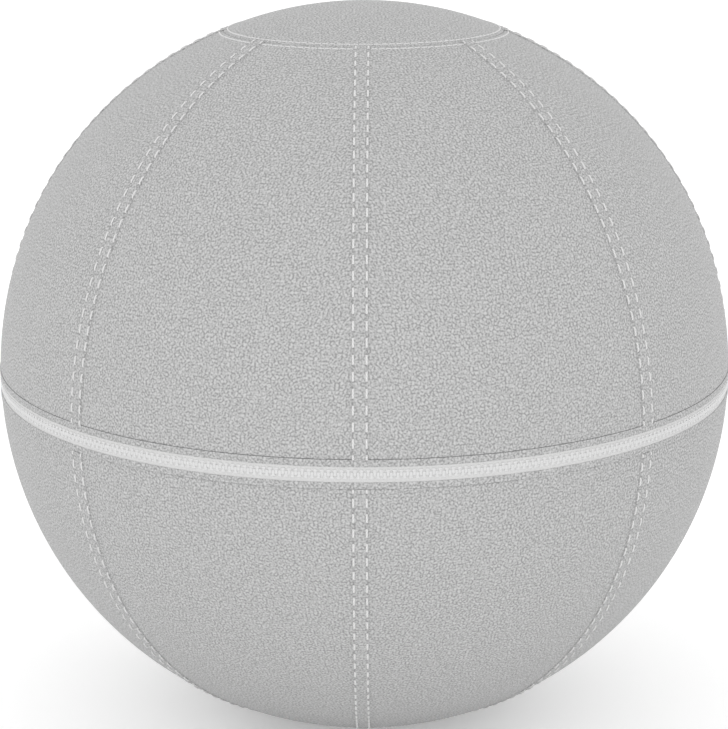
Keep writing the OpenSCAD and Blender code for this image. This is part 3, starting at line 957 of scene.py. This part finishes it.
# %% Facings, tapes and guard
BRIDGE_AT = math.radians(67.5)
TAPE_START = BRIDGE_AT + 6 * MM / CHAIN_R
TAPE_END = BRIDGE_AT + 2 * math.pi - 6 * MM / CHAIN_R
FACING_REACH = 22 * MM
TAPE_REACH = 18 * MM
FOLD = FACING_OUT - LINING_OUT
for half, mirrored in (("upper", False), ("lower", True)):
    opening = OPENING + (LOWER_SLACK if mirrored else 0)
    facing = ring(folded_section("facing", FACING_OUT, LINING_OUT, FACING, opening, FACING_EDGE,
                                 FACING_REACH, 0.15 * MM, skive=0.4 * MM), FACING_OUT)
    tape = ring(folded_section("tape", TAPE_OUT, TAPE_OUT - FOLD, TAPE, TAPE_EDGE,
                               FACING_EDGE - FACING - 0.1 * MM, TAPE_REACH, 0.15 * MM),
                TAPE_OUT, TAPE_START, TAPE_END)
    for piece, kind in ((facing, "facing"), (tape, "tape")):
        if mirrored:
            piece.scale = (1, 1, -1)
            piece.location = 2 * CENTRE
            settle(piece)
        piece.name = f"{half}_{kind}"
    height = np.abs(points(facing)[:, 2] - CENTRE.z)
    outside = np.linalg.norm(points(facing) - np.array(CENTRE), axis=1) < BALL_R + 0.25 * MM
    # Painted shade along the fold beside the panels' edge, strong on the upper facing and weak on
    # the lower one, as the light falls from above.
    painted_shade = facing.data.attributes.new("painted_shade", "FLOAT", "POINT")
    painted_crease_shade = (0.2 if mirrored else 0.9) * near(height, FACING_EDGE) * outside
    painted_shade.data.foreach_set("value", painted_crease_shade.astype(np.float32))
    finish_piece(facing, leather, "cover", "leather", f"{half}_zip_facing")
    finish_piece(tape, tape_cloth, "cover", "zip_tape", f"{half}_zip_tape")
print("facings and tapes ready")

# %% [markdown]
# ## Teeth
# A moulded tooth grips the tape with a broad shoulder, and its head widens again to hold
# behind the heads of the other row. We model it once, by extruding a shoulder block to a neck
# and a head, and round it with a bevel. The same Array step as for stitches repeats it.

# %% One tooth and both rows
TOOTH_PITCH = 5.06 * MM
TOOTH_COUNT = 389
TOOTH_T = 2.7 * MM
SLIDER_ARC = 33 * MM
# The shoulder block's middle, width along the zip and height, then the height and width at the
# neck, at the middle of the zip and at the head's end.
SHOULDER = (2.85 * MM, 3.2 * MM, 1.9 * MM)
PROFILE = ((1.6 * MM, 2.1 * MM), (0.0, 2.44 * MM), (-1.45 * MM, 2.78 * MM))


def extrude_down(obj, level, wide):
    """Extrudes the lowest face to a new level and scales it along the zip."""
    at = points(obj)
    choose(obj, at[:, 2] < at[:, 2].min() + 0.01 * MM)
    lowest = at[:, 2].min()
    now = np.ptp(at[at[:, 2] < lowest + 0.01 * MM][:, 1])
    bpy.ops.mesh.extrude_region_move(
        TRANSFORM_OT_translate={"value": (0, 0, level - lowest)})
    bpy.ops.transform.resize(value=(1, wide / now, 1), center_override=(CHAIN_R, 0, level))
    leave()


def tooth(name):
    bpy.ops.object.select_all(action="DESELECT")
    middle, wide, high = SHOULDER
    bpy.ops.mesh.primitive_cube_add(size=1, location=(CHAIN_R, 0, middle))
    obj = bpy.context.view_layer.objects.active
    obj.name = name
    obj.scale = (TOOTH_T, wide, high)
    place(obj)
    for level, width in PROFILE:
        extrude_down(obj, level, width)
    rounding = obj.modifiers.new("rounding", "BEVEL")
    rounding.width = 0.15 * MM
    rounding.segments = 1
    rounding.limit_method = "ANGLE"
    rounding.angle_limit = math.radians(45)
    apply_all(obj)
    return obj


for half, shift in (("upper", 0.0), ("lower", 0.5)):
    teeth = tooth(f"{half}_teeth")
    one = triangles(teeth)
    start = BRIDGE_AT + (SLIDER_ARC + shift * TOOTH_PITCH) / CHAIN_R
    tilt(teeth, (0, 0, start))
    repeat(teeth, TOOTH_COUNT, (0, 0, TOOTH_PITCH / CHAIN_R))
    if half == "lower":
        teeth.scale = (1, 1, -1)
    teeth.location = CENTRE
    settle(teeth)
    smooth(teeth, 50)
    finish_piece(teeth, tooth_plastic, "cover", "zip_teeth", f"{half}_zip_teeth")
    print(half, "teeth:", one, "triangles each")

# %% [markdown]
# ## Stops, slider and pull tab
# These metal parts are right as solids. A sharp edge looks unreal, though, because real
# castings are tumbled. So a copy of each solid is welded, cleared of flat edges and beveled.

# %% Metal
def metal_material(name, level, roughness):
    material, tree, shader = new_material(name)
    place_of = tree.nodes.new("ShaderNodeTexCoord").outputs["Object"]
    scuffs = add_node(tree, "ShaderNodeTexNoise", {}, Vector=place_of, Scale=900.0, Detail=3.0)
    tone = blend_colours(tree, scuffs.outputs["Fac"], grey(level - 12), grey(level + 4))
    tree.links.new(tone, shader.inputs["Base Color"])
    polish = add_node(tree, "ShaderNodeMapRange")
    put(tree, polish, "Value", scuffs.outputs["Fac"])
    put(tree, polish, "To Min", roughness)
    put(tree, polish, "To Max", roughness + 0.15)
    tree.links.new(polish.outputs["Result"], shader.inputs["Roughness"])
    bump = add_node(tree, "ShaderNodeBump", {}, Strength=0.15, Distance=0.05 * MM)
    put(tree, bump, "Height", scuffs.outputs["Fac"])
    tree.links.new(bump.outputs["Normal"], shader.inputs["Normal"])
    shader.inputs["Metallic"].default_value = 1.0
    return material


def rounded_copy(node, name, rounding):
    only(frame["nodes"][node])
    bpy.ops.object.duplicate(linked=False)
    obj = bpy.context.view_layer.objects.active
    obj.name = name
    for key in [k for k in obj.keys() if k.startswith("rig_")]:
        del obj[key]
    obj.parent = None
    choose(obj)
    bpy.ops.mesh.remove_doubles(threshold=0.002 * MM)
    bpy.ops.mesh.select_all(action="SELECT")
    bpy.ops.mesh.dissolve_limited(angle_limit=math.radians(1))
    leave()
    edge = obj.modifiers.new("edge", "BEVEL")
    edge.width = rounding
    edge.segments = 2
    edge.limit_method = "ANGLE"
    edge.angle_limit = math.radians(40)
    apply_all(obj)
    smooth(obj, 35)
    return obj


nickel = metal_material("nickel_plate", 205, 0.22)
for node, name, rounding, body in (
        ("slider_body", "slider", 0.2, "slider"), ("pull_tab", "tab", 0.25, "tab"),
        ("zip_top_stops", "top_stops", 0.2, "cover"),
        ("zip_bottom_stop", "bottom_stop", 0.3, "cover")):
    piece = rounded_copy(node, name, rounding * MM)
    finish_piece(piece, nickel, body, "zip_metal", node)
    print(name, triangles(piece), "triangles")

# %% [markdown]
# ## Bridge
# Where the zip's ends meet, a leather patch holds the two halves together.

# %% Bridge patch
BRIDGE_LONG = 36 * MM
BRIDGE_HIGH = 23 * MM
bridge_out = FACING_OUT + 0.05 * MM + LEATHER
bridge_half = BRIDGE_LONG / 2 / BALL_R
bridge = ring(band_section("bridge", bridge_out - LEATHER, bridge_out,
                           -BRIDGE_HIGH / 2, BRIDGE_HIGH / 2, 0.35 * MM),
              bridge_out, BRIDGE_AT - bridge_half, BRIDGE_AT + bridge_half, steps=24)
finish_piece(bridge, leather, "cover", "leather", "zip_bridge")
print("bridge:", triangles(bridge), "triangles")

# %% [markdown]
# ## Inside the cover
# Nothing here shows while the zip is closed, but the pieces are there: a woven guard behind
# the teeth, two shells of wadding, and the bladder with its valve.

# %% Guard, wadding, bladder and valve
guard_cloth = woven_material("guard_cloth", 240, 10, 0.8 * MM)
GUARD = 0.8 * MM
GUARD_HIGH = 44 * MM
guard_out = BALL_R - 6.3 * MM
guard = ring(band_section("guard", guard_out - GUARD, guard_out,
                          -GUARD_HIGH / 2, GUARD_HIGH / 2, 0.2 * MM), guard_out)
finish_piece(guard, guard_cloth, "cover", "guard_fabric", "zip_guard")


def noise_material(name, level, scale, roughness, bump_mm, tint=0.0, spread=8):
    material, tree, shader = new_material(name)
    place_of = tree.nodes.new("ShaderNodeTexCoord").outputs["Object"]
    noise = add_node(tree, "ShaderNodeTexNoise", {}, Vector=place_of, Scale=scale, Detail=5.0)
    tone = blend_colours(tree, noise.outputs["Fac"], grey(level - spread, tint),
                         grey(level + spread, tint))
    tree.links.new(tone, shader.inputs["Base Color"])
    bump = add_node(tree, "ShaderNodeBump", {}, Strength=0.5, Distance=bump_mm * MM)
    put(tree, bump, "Height", noise.outputs["Fac"])
    tree.links.new(bump.outputs["Normal"], shader.inputs["Normal"])
    shader.inputs["Roughness"].default_value = roughness
    return material


WADDING = 4.5 * MM
WADDING_OUT = BALL_R - 2.5 * MM
WADDING_EDGE = 22.4 * MM
WADDING_FOOT = 2.5 * MM
wadding = noise_material("felted_wadding", 222, 420.0, 0.95, 0.8)
skin_rubber = noise_material("bladder_rubber", 140, 60.0, 0.6, 0.05, -3, 5)
for half, mirrored in (("upper", False), ("lower", True)):
    pad = sphere_skin(f"{half}_wadding", WADDING_OUT, 128, 64)
    cut(pad, CENTRE + Vector((0, 0, WADDING_EDGE)), (0, 0, -1))
    if mirrored:
        pad.scale = (1, 1, -1)
        pad.location = 2 * CENTRE
        settle(pad)
        choose(pad, points(pad)[:, 2] < WADDING_FOOT)
        bpy.ops.transform.resize(value=(1, 1, 0), center_override=(0, 0, WADDING_FOOT))
        leave()
    thicken(pad, WADDING, 1.2 * MM)
    settle(pad)
    smooth(pad)
    finish_piece(pad, wadding, "cover", "wadding", f"{half}_padding")
valve_white = moulded_material("valve_plastic", 226, 0.4)
for node, material in (("bladder", skin_rubber), ("valve_seat", valve_white),
                       ("valve_plug", valve_white)):
    frame["nodes"][node].data.materials.clear()
    frame["nodes"][node].data.materials.append(material)
print("inner pieces ready")

# %% [markdown]
# ## Studio
# The floor is plain and pale. An even white sky lights the leather from all sides, so that its
# grey renders as it is written, and one large soft lamp gives the grain a direction.

# %% Floor and light
FLOOR_PAINT = 0.96
FLOOR_GLOW = 0.24
SKY_LEVEL = 1.06
SKY_FALL = -0.14
bpy.ops.object.select_all(action="DESELECT")
bpy.ops.mesh.primitive_circle_add(vertices=96, radius=30, fill_type="NGON", location=(0, 0, 0))
floor = bpy.context.view_layer.objects.active
floor.name = "studio_floor"
floor_paint, tree, shader = new_material("floor_paint")
shader.inputs["Base Color"].default_value = (FLOOR_PAINT, FLOOR_PAINT, FLOOR_PAINT, 1)
shader.inputs["Roughness"].default_value = 0.9
shader.inputs["Specular IOR Level"].default_value = 0.0
rays = tree.nodes.new("ShaderNodeLightPath")
seen = maths(tree, "ADD", rays.outputs["Is Camera Ray"], rays.outputs["Is Glossy Ray"], True)
glow = maths(tree, "MULTIPLY", seen, FLOOR_GLOW)
tree.links.new(glow, shader.inputs["Emission Strength"])
shader.inputs["Emission Color"].default_value = (1, 1, 1, 1)
floor.data.materials.append(floor_paint)
world = bpy.data.worlds.new("studio_sky")
bpy.context.scene.world = world
world.use_nodes = True
sky = world.node_tree
up = add_node(sky, "ShaderNodeSeparateXYZ", {},
              Vector=sky.nodes.new("ShaderNodeTexCoord").outputs["Generated"])
level = scaled(sky, up.outputs["Z"], SKY_FALL, SKY_LEVEL)
sky.nodes["Background"].inputs["Color"].default_value = (1, 1, 1, 1)
sky.links.new(level, sky.nodes["Background"].inputs["Strength"])


def lamp(name, at, size, power):
    bpy.ops.object.light_add(type="AREA", location=at)
    obj = bpy.context.view_layer.objects.active
    obj.name = name
    obj.data.shape = "DISK"
    obj.data.size = size
    obj.data.energy = power
    obj.rotation_euler = (CENTRE - Vector(at)).to_track_quat("-Z", "Y").to_euler()


lamp("key", (-1.9, -2.2, 2.4), 1.6, 1.5)
lamp("low_fill", (0, -3.0, 0.3), 1.2, 7)
print("studio ready")

# %% [markdown]
# ## Camera
# The camera stands about two metres away, a little above the ball's middle, and is turned
# half a degree off the front seam.

# %% Camera
DISTANCE = 6.26 * BALL_R
RAISED = math.radians(15.15)
ASIDE = math.radians(0.66)
ROLLED = math.radians(-0.12)
back = Vector((math.sin(ASIDE) * math.cos(RAISED), -math.cos(ASIDE) * math.cos(RAISED),
               math.sin(RAISED)))
bpy.ops.object.camera_add(location=CENTRE + back * DISTANCE)
camera = bpy.context.view_layer.objects.active
level_view = (-back).to_track_quat("-Z", "Y")
camera.rotation_euler = (level_view @ Quaternion((0, 0, 1), ROLLED)).to_euler()
camera.data.sensor_width = 36
camera.data.lens = 111.06
camera.data.shift_x = -0.0007
camera.data.shift_y = -0.0011
camera.data.clip_end = 100
bpy.context.scene.camera = camera
bpy.context.scene.view_settings.view_transform = "Standard"
print(f"camera {DISTANCE:.3f} m away, lens {camera.data.lens:.1f} mm")
